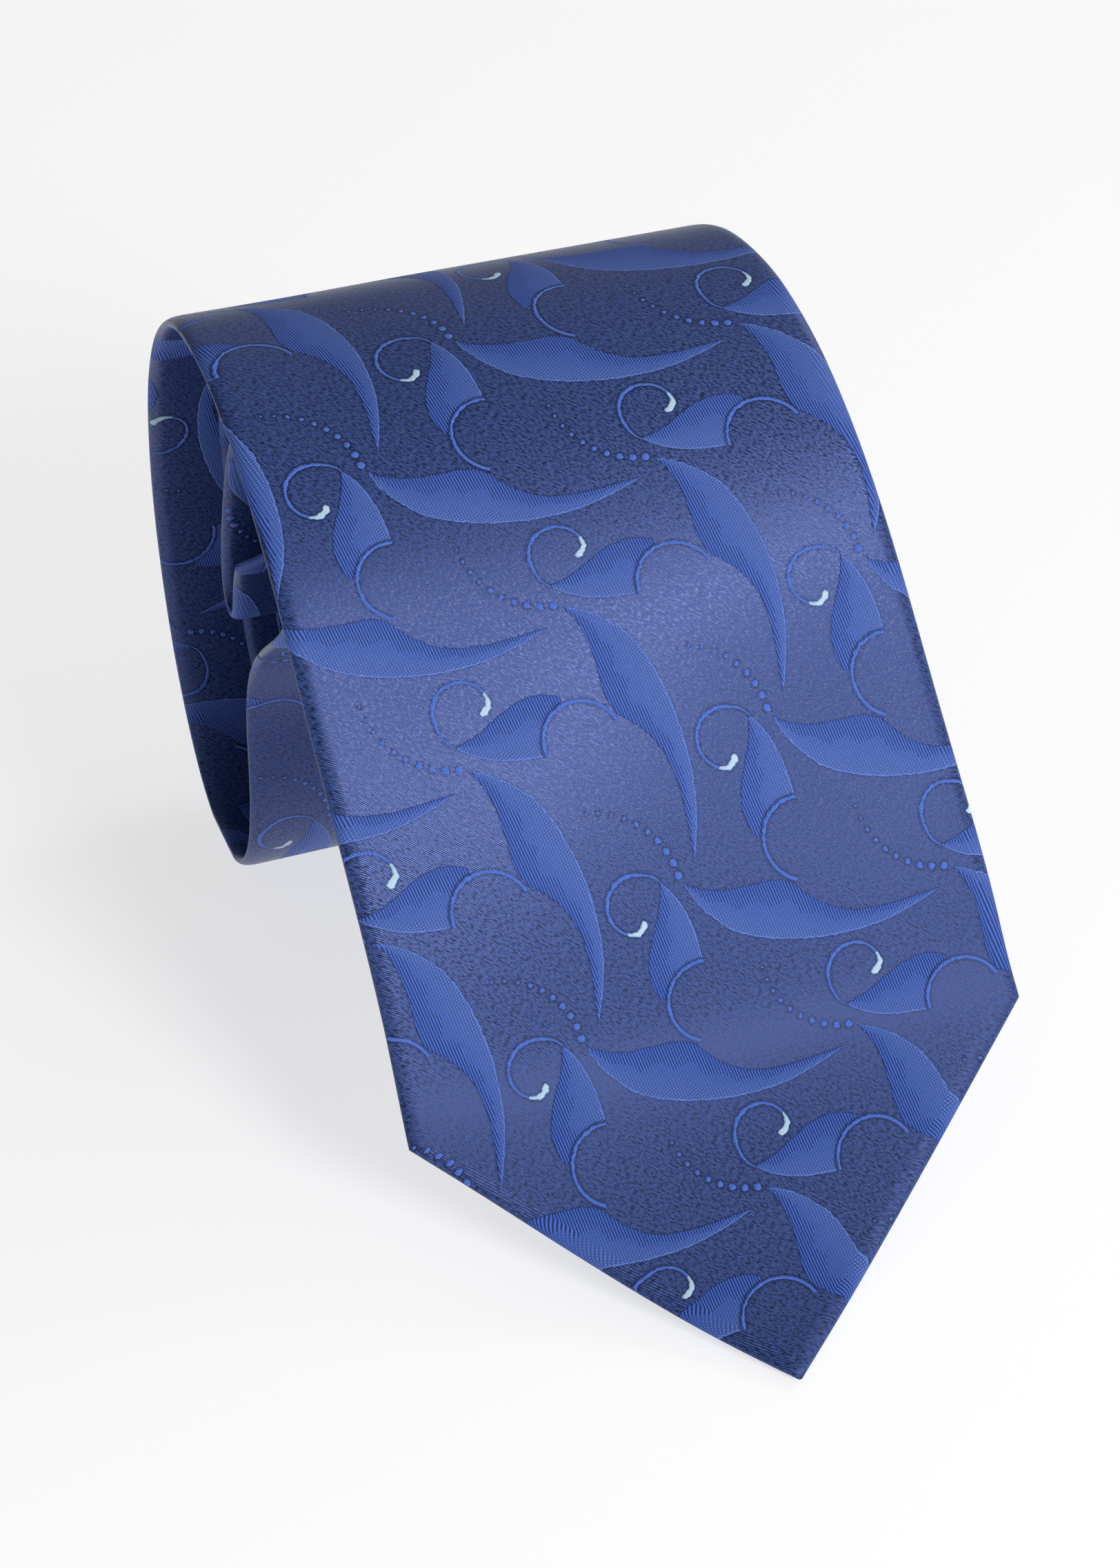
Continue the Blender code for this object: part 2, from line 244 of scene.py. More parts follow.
def place(x, s, n):
    """Points of the flat tie on the rolled tie, in metres. x, s and n are arrays alike."""
    x, s, n = np.broadcast_arrays(np.asarray(x, float), s, n)
    n = n + ripple(x, s)
    y, z, ny, nz = middle_at(s)
    sideways = drift(s.ravel()).reshape(s.shape)
    found = np.stack((x + sideways - MIDDLE_X, y + n * ny - MIDDLE_Y, z + n * nz), axis=-1)
    return found * MM


# ---------------------------------------------------------------------------------------------
# Mesh builders


def new_object(name, data, finish):
    """An object with this mesh and material, in the scene."""
    made = bpy.data.objects.new(name, data)
    bpy.context.scene.collection.objects.link(made)
    data.materials.append(finish)
    return made


def grid_mesh(name, points, cloth_xy, closed=False):
    """A quad mesh through rows of points, with the cloth's own x and s as its UV map."""
    rows, columns = points.shape[:2]
    mesh = bpy.data.meshes.new(name)
    index = np.arange(rows * columns).reshape(rows, columns)
    if closed:
        index = np.concatenate([index, index[:, :1]], axis=1)
    quads = np.stack(
        (index[:-1, :-1], index[:-1, 1:], index[1:, 1:], index[1:, :-1]), axis=-1
    ).reshape(-1, 4)
    mesh.vertices.add(rows * columns)
    mesh.vertices.foreach_set("co", points.reshape(-1).astype(np.float32))
    mesh.loops.add(quads.size)
    mesh.loops.foreach_set("vertex_index", quads.reshape(-1).astype(np.int32))
    mesh.polygons.add(len(quads))
    mesh.polygons.foreach_set("loop_start", np.arange(0, quads.size, 4, dtype=np.int32))
    mesh.polygons.foreach_set("use_smooth", np.ones(len(quads), bool))
    mesh.update(calc_edges=True)
    layer = mesh.uv_layers.new(name="Cloth")
    flat = cloth_xy.reshape(-1, 2)[quads.reshape(-1)]
    layer.data.foreach_set("uv", flat.reshape(-1).astype(np.float32))
    mesh.validate()
    return mesh


def thicken(made, thickness):
    """The same sheet with a thickness in millimetres, half to each side."""
    solid = made.modifiers.new("Thickness", "SOLIDIFY")
    solid.thickness = thickness * MM
    solid.offset = 0
    solid.use_even_offset = False
    return made


def shell_rows(s):
    """x, n and cloth x across the folded shell at each s, from one back edge to the other."""
    half = half_width(s) - SHELL / 2
    edge = opening(s)
    # Near a point of the tie the folds meet, so they round off less and the cloth thins.
    slant = np.where((s < BLADE_HALF) | (s > LENGTH - TAIL_HALF), math.sqrt(2), 1.0)
    reach = np.minimum(FOLD * slant, np.maximum(half, 0.05) * 0.85)
    from_point = np.minimum(s, LENGTH - s)
    deep = DEEP * np.clip(np.sqrt(np.maximum(from_point, 0.02) / 3.0), 0.2, 1.0)
    inner = half - reach
    edge = np.minimum(edge, inner * 0.98)
    back = np.linspace(0, 1, BACK_COLUMNS, endpoint=False)[None, :]
    turn = np.linspace(-math.pi / 2, math.pi / 2, FOLD_COLUMNS, endpoint=False)[None, :]
    face = np.linspace(1, 0, FACE_COLUMNS // 2, endpoint=False)[None, :]
    edge, inner, reach, deep = (each[:, None] for each in (edge, inner, reach, deep))
    x = np.concatenate((
        edge + (inner - edge) * back,
        inner + reach * np.cos(turn),
        inner * face,
    ), axis=1)
    n = np.concatenate((
        -deep * np.ones_like(back),
        deep * np.sin(turn),
        deep * np.ones_like(face),
    ), axis=1)
    curled = (reach + deep) / 2
    across = np.concatenate((
        inner + math.pi * curled + (inner - edge) * (1 - back),
        inner + math.pi * curled - (turn + math.pi / 2) * curled,
        inner * face,
    ), axis=1)
    middle = np.zeros((len(s), 1))
    x = np.concatenate((x, middle, -x[:, ::-1]), axis=1)
    n = np.concatenate((n, deep, n[:, ::-1]), axis=1)
    across = np.concatenate((across, middle, -across[:, ::-1]), axis=1)
    return x, n, across


def stations(start, end, step):
    """Distances from start to end, at most step apart, with the outline's corners among them."""
    corners = [c for c in (BLADE_HALF, BLADE_V_END, NECK_START, NECK_END,
                           LENGTH - TAIL_V_LENGTH, LENGTH - TAIL_HALF) if start < c < end]
    marks = [start, *corners, end]
    found = [start]
    for low, high in zip(marks, marks[1:]):
        count = max(1, math.ceil((high - low) / step))
        found += list(low + (high - low) * (np.arange(count) + 1) / count)
    return np.array(found)


def woven_at(s):
    """Where along the weave the cloth at s is, with the shift that GIVE sets."""
    knots, given = zip(*GIVE)
    return s + spline(knots, given, s)[:, 0]


def shell(name, start, end, step, finish):
    """The folded silk of the tie from start to end."""
    s = stations(start, end, step)
    x, n, across = shell_rows(s)
    along = np.repeat(s[:, None], x.shape[1], axis=1)
    woven = np.repeat(woven_at(s)[:, None], x.shape[1], axis=1)
    mesh = grid_mesh(name, place(x, along, n), np.stack((across, woven), axis=-1))
    return thicken(new_object(name, mesh, finish), SHELL)


def flat_strip(name, start, end, step, half, n, thickness, finish, columns):
    """A strip of cloth lying at n in the tie, half wide to each side of its middle."""
    s = stations(start, end, step)
    sides = np.linspace(1, -1, columns)[None, :]
    x = np.asarray(half(s))[:, None] * sides
    along = np.repeat(s[:, None], columns, axis=1)
    mesh = grid_mesh(name, place(x, along, n), np.stack((x, along), axis=-1))
    return thicken(new_object(name, mesh, finish), thickness)


UNUSUAL_DIRECTION = (0.31, 0.85, 0.42)      # one that no thread runs along


def tube(name, points, radius, finish, closed=False, sides=6):
    """A thread through the points, which are in metres, as a round tube with its own UV map."""
    points = np.asarray(points)
    if closed:
        along = np.roll(points, -1, axis=0) - np.roll(points, 1, axis=0)
    else:
        along = np.gradient(points, axis=0)
    along /= np.linalg.norm(along, axis=1)[:, None]
    aside = np.cross(along, UNUSUAL_DIRECTION)
    aside /= np.linalg.norm(aside, axis=1)[:, None]
    outward = np.cross(along, aside)
    turn = np.linspace(0, 2 * math.pi, sides, endpoint=False)
    ring_points = (
        points[:, None, :]
        + radius * MM * np.cos(turn)[None, :, None] * aside[:, None, :]
        + radius * MM * np.sin(turn)[None, :, None] * outward[:, None, :]
    )
    steps = np.linalg.norm(np.diff(points, axis=0), axis=1) / MM
    reached = np.r_[0, np.cumsum(steps)]
    wound = np.stack(np.broadcast_arrays(turn[None, :] * radius, reached[:, None]), axis=-1)
    if closed:
        ring_points = np.concatenate((ring_points, ring_points[:1]))
        wound = np.concatenate((wound, wound[:1] + (0, steps.mean())))
    return new_object(name, grid_mesh(name, ring_points, wound, closed=True), finish)


def joined(name, parts, finish):
    """Several small meshes as one object."""
    mesh = bpy.data.meshes.new(name)
    gathered = bmesh.new()
    for part in parts:
        gathered.from_mesh(part.data)
        bpy.data.objects.remove(part)
    gathered.to_mesh(mesh)
    gathered.free()
    return new_object(name, mesh, finish)


def seam_thread(name, start, end, finish):
    """The slip stitch in the seam: it slants from one back edge to the other and back."""
    spacing, stitch, swing, raised, arch, radius = 0.8, 7.5, 0.3, 0.12, 0.04, 0.11
    s = np.arange(start, end, spacing)
    aside = swing * np.sin(s * 2 * math.pi / stitch)
    deep = DEEP + raised + arch * np.cos(s * 4 * math.pi / stitch)
    return tube(name, place(aside, s, -deep), radius, finish, sides=THREAD_SIDES)


def cross_seam(name, s, finish):
    """The thread of a seam between two panels, round the folded shell between their edges."""
    x, n, _ = shell_rows(np.array([s]))
    points = place(x[0], np.full(x.shape[1], s), n[0])
    return tube(name, points, THREAD_RADIUS, finish)


def bar(name, s, across, along, finish):
    """A bar tack: short threads side by side, each arched over the seam."""
    spacing, arch, slant, radius = 0.3, 0.32, 0.12, 0.16
    share = np.linspace(-1, 1, 7)
    high = THICKNESS / 2 + 0.02 + arch * (1 - share**4)
    parts = []
    for i, x in enumerate(np.arange(-across / 2, across / 2 + 0.01, spacing)):
        lean = slant * share * (1 if i % 2 else -1)
        points = place(x + lean, s + share * along / 2, -high)
        parts.append(tube(f"{name}_{i}", points, radius, finish))
    return joined(name, parts, finish)


def stitch_row(name, edge, start, length, step, finish):
    """Small stitches over one edge of a patch on the tie's back."""
    outside, reach, slant, arch = 0.75, 1.7, 0.5, 0.48
    share = np.linspace(0, 1, 8)
    x = edge + math.copysign(outside, edge) - math.copysign(reach, edge) * share
    high = THICKNESS / 2 + 0.05 + arch * np.sin(math.pi * np.clip(share * 1.15, 0, 1)) ** 0.6
    parts = []
    for i, s in enumerate(np.arange(start + step / 2, start + length, step)):
        points = place(x, s + share * slant, -high)
        parts.append(tube(f"{name}_{i}", points, THREAD_RADIUS, finish, sides=THREAD_SIDES))
    return joined(name, parts, finish)


def slack_loop(name, s, finish):
    """The end of the slip stitch, left slack as a closed loop that lies on the tie's back."""
    half_across, half_along, raised, wave, radius = 1.6, 2.5, 0.45, 0.1, 0.14
    turn = np.linspace(0, 2 * math.pi, 48, endpoint=False)
    points = place(
        half_across * np.sin(turn),
        s + half_along * (1 - np.cos(turn)),
        -(THICKNESS / 2 + raised + wave * np.sin(2 * turn)),
    )
    return tube(name, points, radius, finish, closed=True)


def patch(name, start, length, half, finish, thickness=0.3):
    """A flat band across the tie's back, folded along both its long edges."""
    deep = THICKNESS / 2 + 0.3
    around = np.linspace(0, 2 * math.pi, 36, endpoint=False)
    shape = np.sign(np.cos(around)) * np.abs(np.cos(around)) ** 0.25
    thin = np.sign(np.sin(around)) * np.abs(np.sin(around)) ** 0.5
    x = np.linspace(-half, half, 41)[:, None]
    uneven = 0.018 * np.sin(x * 0.9)
    s = start + length / 2 + shape[None, :] * (length / 2 - 0.1) + uneven
    n = -deep + thin[None, :] * thickness / 2
    x, n = (np.broadcast_to(each, s.shape) for each in (x, n))
    mesh = grid_mesh(name, place(x, s, n), np.stack((x, s - start), axis=-1), closed=True)
    return new_object(name, mesh, finish)


# ---------------------------------------------------------------------------------------------
# Materials

# The woven figure: one sprig to each cell of REPEAT_P by REPEAT_Q millimetres, turned 45 degrees
# to the tie. Every second row of sprigs is a mirror image of the first, half a step along.
# The repeat and the outlines were read off the photo and follow its design closely.
REPEAT_P, REPEAT_Q = 26.2, 31.6
MIRROR_SHIFT = 4.0
SPRIG_X, SPRIG_S = -6.4, 113.1     # where one sprig's node lies on the flat tie
# The parts of a sprig, in millimetres from its node
STEM_X, STEM_RADIUS = 17.2, 5.6
CORD_HALF = 0.25
RING_X, RING_DOWN = 2.2, -7.2
DOTS_X, DOTS_DOWN, DOTS_RADIUS = 0.5, -11.5, 11.4
DOT_STEP = 9.0                     # degrees from dot to dot
FAR_OUTSIDE = 2.0                  # how far outside a figure a point beyond its end counts


class Number:
    """A number in a node tree. Arithmetic on it adds Math nodes to the tree."""

    def __init__(self, tree, socket):
        self.tree = tree
        self.socket = socket

    def math(self, operation, *others, clamp=False):
        node = self.tree.nodes.new("ShaderNodeMath")
        node.operation = operation
        node.use_clamp = clamp
        for socket, value in zip(node.inputs, (self, *others)):
            feed(self.tree, value, socket)
        return Number(self.tree, node.outputs[0])

    def __add__(self, other):
        return self.math("ADD", other)

    __radd__ = __add__

    def __mul__(self, other):
        return self.math("MULTIPLY", other)

    __rmul__ = __mul__

    def __sub__(self, other):
        return self.math("SUBTRACT", other)

    def __rsub__(self, other):
        return self.math("MULTIPLY_ADD", -1.0, other)

    def __truediv__(self, other):
        return self.math("DIVIDE", other)

    def floor(self):
        return self.math("FLOOR")

    def fraction(self):
        return self.math("FRACT")

    def least(self, other):
        return self.math("MINIMUM", other)

    def most(self, other):
        return self.math("MAXIMUM", other)

    def size(self):
        return self.math("ABSOLUTE")

    def wave(self):
        """1 at whole numbers and 0 halfway between them."""
        return (self * (2 * math.pi)).math("COSINE").math("MULTIPLY_ADD", 0.5, 0.5)

    def inside(self, softness):
        """0 below zero, 1 above it, and a ramp softness wide between."""
        return self.math("MULTIPLY_ADD", 1 / softness, 0.5, clamp=True)

    def between(self, low, high):
        """1 where the number is from low to high, and 0 elsewhere."""
        return self.math("GREATER_THAN", low) * self.math("LESS_THAN", high)

    def ended(self, low, high):
        """0 where the number is from low to high, and FAR_OUTSIDE below zero elsewhere."""
        return (self.between(low, high) - 1.0) * FAR_OUTSIDE

    def curve(self, points, low, high):
        """A smooth curve through the points, over this number. Values run from low to high."""
        node = self.tree.nodes.new("ShaderNodeFloatCurve")
        feed(self.tree, self, node.inputs["Value"])
        line = node.mapping.curves[0]
        scaled = [(x, (y - low) / (high - low)) for x, y in points]
        for point, where in zip(line.points, (scaled[0], scaled[-1])):
            point.location = where
        for where in scaled[1:-1]:
            line.points.new(*where)
        node.mapping.update()
        found = Number(self.tree, node.outputs[0])
        return found.math("MULTIPLY_ADD", high - low, low)


def feed(tree, value, socket):
    """Sets a socket to a plain value, or links a Number to it."""
    if isinstance(value, Number):
        tree.links.new(value.socket, socket)
    else:
        socket.default_value = value


def length(x, y):
    """How far x, y lies from 0, 0."""
    return (x * x + y * y).math("SQRT")


def mixed(tree, share, first, second):
    """A colour between two colours, each a tuple or a socket."""
    node = tree.nodes.new("ShaderNodeMix")
    node.data_type = "RGBA"
    feed(tree, share, node.inputs["Factor"])
    for socket, colour in ((node.inputs[6], first), (node.inputs[7], second)):
        if isinstance(colour, tuple):
            socket.default_value = (*colour, 1)
        else:
            tree.links.new(colour, socket)
    return node.outputs[2]


def noise(tree, x, y, scale, detail=0.0):
    """Smooth noise from 0 to 1 over x and y, with about scale bumps to each unit."""
    joined = tree.nodes.new("ShaderNodeCombineXYZ")
    feed(tree, x, joined.inputs["X"])
    feed(tree, y, joined.inputs["Y"])
    node = tree.nodes.new("ShaderNodeTexNoise")
    node.noise_dimensions = "2D"
    node.inputs["Scale"].default_value = scale
    node.inputs["Detail"].default_value = detail
    tree.links.new(joined.outputs[0], node.inputs["Vector"])
    return Number(tree, node.outputs["Fac"])


def plain_material(name, colour, roughness):
    """A material of one colour, with its node tree and its shader."""
    made = bpy.data.materials.new(name)
    made.use_nodes = True
    shader = made.node_tree.nodes["Principled BSDF"]
    shader.inputs["Base Color"].default_value = (*colour, 1)
    shader.inputs["Roughness"].default_value = roughness
    return made, made.node_tree, shader


def bump_from(tree, shader, height):
    """Relief from a height in millimetres."""
    bump = tree.nodes.new("ShaderNodeBump")
    bump.inputs["Strength"].default_value = 1.0
    bump.inputs["Distance"].default_value = MM
    feed(tree, height, bump.inputs["Height"])
    tree.links.new(bump.outputs["Normal"], shader.inputs["Normal"])


def cloth_xy(tree):
    """The cloth's own x and s in millimetres, from the mesh's UV map."""
    node = tree.nodes.new("ShaderNodeUVMap")
    node.uv_map = "Cloth"
    split = tree.nodes.new("ShaderNodeSeparateXYZ")
    tree.links.new(node.outputs["UV"], split.inputs[0])
    return Number(tree, split.outputs[0]), Number(tree, split.outputs[1])


def sprig_xy(x, down, start_p, start_q):
    """Where a point lies from its sprig's node, for the cell that begins at start_p, start_q."""
    diagonal = math.sqrt(0.5)
    p = (down - x) * diagonal
    q = (down + x) * diagonal
    row = ((q - start_q) * (1 / REPEAT_Q)).floor()
    q = q - row * REPEAT_Q
    odd = (row * 0.5).fraction() * 2.0
    p = p * (1.0 - odd * 2.0) - odd * MIRROR_SHIFT
    p = p - ((p - start_p) * (1 / REPEAT_P)).floor() * REPEAT_P
    return (q - p) * diagonal, (q + p) * diagonal


def zigzag(along, step, height):
    """A line that goes up and down by height either way, once in each step."""
    return ((along * (1 / step)).fraction() - 0.5).size() * (4 * height) - height


def long_leaf(x, down):
    """How far inside the long leaf a point is, and how far across it from its inner side."""
    reach, angle = 37.0, math.radians(76.6)
    x, down = x - 0.7, down - 0.3
    t = (x * math.cos(angle) + down * math.sin(angle)) * (1 / reach)
    h = x * math.sin(angle) - down * math.cos(angle)
    outer = t.curve((
        (0, 0), (0.05, 2.7), (0.14, 5.4), (0.22, 6.8), (0.36, 7.5), (0.53, 7.2),
        (0.64, 6.4), (0.75, 5.2), (0.86, 3.3), (0.95, 1.3), (1, 0),
    ), -1, 8)
    inner = t.curve((
        (0, 0), (0.06, 0.8), (0.14, 1.0), (0.25, 0.3), (0.38, -0.5), (0.47, 1.1),
        (0.55, 2.6), (0.64, 3.3), (0.73, 3.0), (0.82, 2.2), (0.91, 1.1), (1, 0),
    ), -1, 8)
    depth = (outer - h).least(h - inner) * t.between(0.0, 1.0)
    across = (h - inner) / (outer - inner).most(0.05)
    return depth + t.ended(0.0, 1.0), across, t * reach


def bitten_leaf(x, down):
    """The same for the short leaf, whose end is bitten off by the stem's arc."""
    reach = 16.0
    t = x * (1 / reach)
    upper = t.curve((
        (0, 3.0), (0.2, 3.9), (0.4, 5.5), (0.62, 7.0), (0.8, 7.3), (1, 6.2),
    ), -1, 8)
    lower = t.curve((
        (0, 2.9), (0.14, 1.3), (0.34, 0.1), (0.55, -0.4), (0.74, -0.5), (1, -0.2),
    ), -1, 8)
    h = down * -1.0
    from_arc = length(x - STEM_X, down) - STEM_RADIUS
    depth = (upper - h).least(h - lower).least(from_arc)
    across = (upper - h) / (upper - lower).most(0.05)
    return depth + t.ended(0.0, 0.98), across, x


def degrees(sideways, upwards):
    """The angle of a direction, from 0 to 360."""
    turn = upwards.math("ARCTAN2", sideways) * (0.5 / math.pi)
    return turn.fraction() * 360.0


def stem(x, down):
    """How far inside the stem's cord a point is."""
    away = length(x - STEM_X, down) - STEM_RADIUS
    angle = degrees(x - STEM_X, down * -1.0)
    return CORD_HALF - away.size() + angle.ended(22, 186)


def ring(x, down):
    """The same for the curl, and 1 on the pale bead at its end."""
    x, up = x - RING_X, RING_DOWN - down
    away = length(x, up)
    angle = (degrees(x, up) + 30.0) * (1 / 360)
    angle = angle.fraction()
    middle = angle.curve((
        (0, 2.7), (0.045, 2.9), (0.075, 3.3), (0.105, 3.8), (0.16, 4.0),
        (0.45, 3.9), (0.62, 4.1), (0.76, 4.85), (1, 5),
    ), 2, 6)
    width = angle.curve((
        (0, 0.0), (0.025, 0.3), (0.05, 0.62), (0.085, 0.55), (0.12, 0.34), (0.17, 0.2),
        (0.3, 0.22), (0.5, 0.28), (0.7, 0.18), (0.76, 0.1), (1, 0),
    ), 0, 1)
    inside = width - (away - middle).size()
    bead = angle.math("LESS_THAN", 0.16)
    return inside + angle.ended(0.02, 0.765), bead


def dots(x, down):
    """How far inside one of the row of dots a point is."""
    x, below = x - DOTS_X, down - DOTS_DOWN
    away = length(x, below) - DOTS_RADIUS
    angle = (x * -1.0).math("ARCTAN2", below) * (180 / math.pi)
    step = DOT_STEP * math.pi / 180 * DOTS_RADIUS
    along = ((angle * (1 / DOT_STEP)).fraction() - 0.5) * step
    radius = angle.math("MULTIPLY_ADD", -0.0042, 0.56)
    return radius - length(along, away) + angle.ended(1, 87)


def woven_silk(name):
    """The jacquard: a satin ground with leaves, cords, dots and pale beads woven in."""
    made, tree, shader = plain_material(name, (0.03, 0.045, 0.16), 0.4)
    x, s = cloth_xy(tree)
    down = SPRIG_S - s
    x = x - SPRIG_X
    uneven = (noise(tree, x, down, 1.6) - 0.5) * 0.22
    near_x, near_down = sprig_xy(x + uneven, down - uneven, -4.0, 0.5)
    leaf, across, along = long_leaf(near_x, near_down)
    far_x, far_down = sprig_xy(x + uneven, down + uneven, -20.5, -17.2)
    short_leaf, short_across, short_along = bitten_leaf(far_x, far_down)
    curl, bead = ring(far_x, far_down)
    cord = curl.most(stem(far_x, far_down)).most(dots(far_x, far_down))
    on_bead = curl.inside(0.06) * bead
    on_cord = cord.inside(0.06)
    leaf_depth = leaf.most(short_leaf)
    on_leaf = leaf_depth.inside(0.08)

    # Threads: columns of the leaves' ribs, the slanting floats of the ground, and the strokes
    # of the cords, each a spacing apart
    rib_spacing, row_spacing, line_spacing, stroke_spacing = 0.40, 0.37, 0.25, 0.23
    column = x * (0.985 / rib_spacing) - down * (0.17 / rib_spacing)
    row = down * (1 / row_spacing) + column * 0.5
    rib = column.wave()
    knot = rib * row.wave()
    line = x * (0.66 / line_spacing) - down * (0.75 / line_spacing)
    float_along = x * 0.75 + down * 0.66
    floats = noise(tree, line * 0.9, float_along * 1.5, 1.0, 1.0)
    strand = line.wave() * floats.math("MULTIPLY_ADD", 2.4, -0.55, clamp=True)
    stroke = ((x + down) * (0.707 / stroke_spacing)).wave()

    # Three weaves across each leaf: long ribs, a dark grid, and a bright grid
    chosen = leaf.math("GREATER_THAN", short_leaf)
    share = across * chosen + short_across * (1.0 - chosen)
    run = along * chosen + short_along * (1.0 - chosen)
    teeth = zigzag(run + share * 3.0, 4.6, 0.09)
    ribbed = (0.4 - share + teeth).inside(0.03)
    bright = (share - 0.68 + teeth).inside(0.25)
    dim = (1.0 - row.wave() * (1.0 - rib)).math("MULTIPLY_ADD", 0.5, 0.08)
    grid = knot.math("MULTIPLY_ADD", 0.85, 0.26) * bright + dim * (1.0 - bright)
    weave = (rib * 0.85) * ribbed + grid * (1.0 - ribbed)
    rim = (0.22 - leaf_depth.size()).inside(0.08) * share.math("GREATER_THAN", 0.5)
    weave = weave.most(rim * 0.75)

    dark_ground, pale_ground = (0.003, 0.006, 0.026), (0.078, 0.158, 0.52)
    ground = mixed(tree, strand, dark_ground, pale_ground)
    dark_leaf = (0.003, 0.010, 0.05)
    pale_leaf = mixed(tree, share, (0.062, 0.18, 0.82), (0.15, 0.28, 0.86))
    leaf_colour = mixed(tree, weave, dark_leaf, pale_leaf)
    cord_colour = mixed(tree, stroke, (0.02, 0.07, 0.42), (0.14, 0.30, 0.95))
    lit = (cord.inside(0.5) * 0.8 + stroke * 0.45).math("MULTIPLY_ADD", 1.3, -0.6, clamp=True)
    bead_colour = mixed(tree, lit, (0.08, 0.40, 0.80), (0.82, 0.95, 1.0))
    # Painted shade: the ground is darkened beside the leaves and cords that stand over it, where
    # their shade would fall.
    shade_beside_leaf = leaf_depth.math("MULTIPLY_ADD", 1 / 0.35, 1.0, clamp=True)
    shade_beside_cord = cord.math("MULTIPLY_ADD", 1 / 0.4, 1.15, clamp=True)
    colour = mixed(tree, shade_beside_leaf * 0.5, ground, dark_ground)
    colour = mixed(tree, on_leaf, colour, leaf_colour)
    colour = mixed(tree, shade_beside_cord * 0.9, colour, dark_ground)
    colour = mixed(tree, on_cord, colour, cord_colour)
    colour = mixed(tree, on_bead, colour, bead_colour)
    tree.links.new(colour, shader.inputs["Base Color"])

    # The relief: flat leaves stand a little over the ground, and round cords more so.
    plump = cord.math("MULTIPLY_ADD", 1 / 0.3, 0.0, clamp=True).math("SQRT")
    height = strand * 0.025 + on_leaf * (weave * 0.055 + 0.05)
    height = height + plump * (stroke * 0.04 + 0.16)
    bump_from(tree, shader, height)
    # The cloth is more matt towards the blade's point.
    near_point = (68.0 - s).inside(30.0) * 0.14
    rough = on_leaf.most(on_cord) * 0.22 + near_point + 0.34
    feed(tree, rough, shader.inputs["Roughness"])
    shader.inputs["Specular IOR Level"].default_value = 1.0
    shader.inputs["Specular Tint"].default_value = (0.38, 0.46, 1.0, 1)
    return made


def thread_material(name):
    """Twisted silk thread: slanting plies round the tube."""
    made, tree, shader = plain_material(name, (0.05, 0.07, 0.22), 0.5)
    around, along = cloth_xy(tree)
    ply = (around * 1.6 + along * 1.9).wave()
    colour = mixed(tree, ply, (0.018, 0.026, 0.10), (0.085, 0.115, 0.36))
    tree.links.new(colour, shader.inputs["Base Color"])
    bump_from(tree, shader, ply * 0.03)
    return made


def tipping_material(name):
    """Plain-woven lining silk, with slubs along its threads."""
    made, tree, shader = plain_material(name, (0.035, 0.045, 0.16), 0.42)
    x, s = cloth_xy(tree)
    warp = (x * 4.2).wave()
    weft = (s * 4.2).wave()
    slub = noise(tree, x * 0.25, s * 3.0, 1.0, 2.0)
    over = warp * (1.0 - weft) + weft * (1.0 - warp)
    level = over * 0.6 + slub * 0.5
    colour = mixed(tree, level, (0.014, 0.02, 0.075), (0.055, 0.075, 0.26))
    tree.links.new(colour, shader.inputs["Base Color"])
    bump_from(tree, shader, over * 0.02)
    shader.inputs["Specular IOR Level"].default_value = 0.6
    return made


def wool_material(name):
    """Brushed wool canvas: a loose plain weave under a fine felted pile."""
    made, tree, shader = plain_material(name, (0.80, 0.78, 0.72), 0.95)
    x, s = cloth_xy(tree)
    weave = (x * 1.5).wave() + (s * 1.3).wave()
    pile = noise(tree, x, s, 2.6, 3.0)
    level = weave * 0.28 + pile * 0.6
    colour = mixed(tree, level, (0.50, 0.47, 0.40), (0.86, 0.84, 0.78))
    tree.links.new(colour, shader.inputs["Base Color"])
    bump_from(tree, shader, level * 0.15)
    return made


def label_material(name):
    """A blank satin label with a narrow woven border along its long edges."""
    made, tree, shader = plain_material(name, (0.02, 0.028, 0.09), 0.45)
    x, s = cloth_xy(tree)
    from_edge = (s - LABEL_LENGTH / 2).size() * -1.0 + LABEL_LENGTH / 2
    border = from_edge.between(1.6, 2.3)
    floats = (x * 3.4 + (s * 3.4).floor() * 0.4).wave()
    colour = mixed(tree, floats, (0.012, 0.017, 0.06), (0.035, 0.047, 0.15))
    colour = mixed(tree, border * floats.math("MULTIPLY_ADD", 0.4, 0.6), colour, (0.30, 0.36, 0.52))
    tree.links.new(colour, shader.inputs["Base Color"])
    bump_from(tree, shader, floats * 0.02 + border * 0.03)
    return made


SILK = woven_silk("Jacquard silk")
WOOL = wool_material("Wool interlining")
TIPPING = tipping_material("Tipping silk")
THREAD = thread_material("Silk thread")
LABEL = label_material("Woven label")

# ---------------------------------------------------------------------------------------------
# The tie

CLOTH_START = 0.35         # the silk begins and ends just inside the tie's two points
CLOTH_END = LENGTH - 0.4
JOIN_GAP = 0.05            # half the gap between two panels at their seam
WOOL_START = 6.0           # from the blade's point, and as far from the tail's
WOOL_MARGIN = 1.5          # from the wool's edge to the tie's edge
WOOL_GAP = 0.2             # half the gap between two lengths of wool
WOOL_THICKNESS = 0.8
UNDER_HEM = 2.6            # how far the tipping reaches under the shell's back edges
TIPPING_MARGIN = 2.6       # and the least distance from its edge to the tie's edge
TIPPING_THICKNESS = 0.12
TIPPING_DEEP = 0.475       # from the tie's middle surface to the tipping
BLADE_TIPPING = (BLADE_HEM + 1.2, BLADE_V_END + 4)
TAIL_TIPPING = (LENGTH - TAIL_V_LENGTH - 4, LENGTH - TAIL_HEM - 1.2)


def wool_half(s):
    """Half the width of the wool inside the tie."""
    return half_width(s) - WOOL_MARGIN


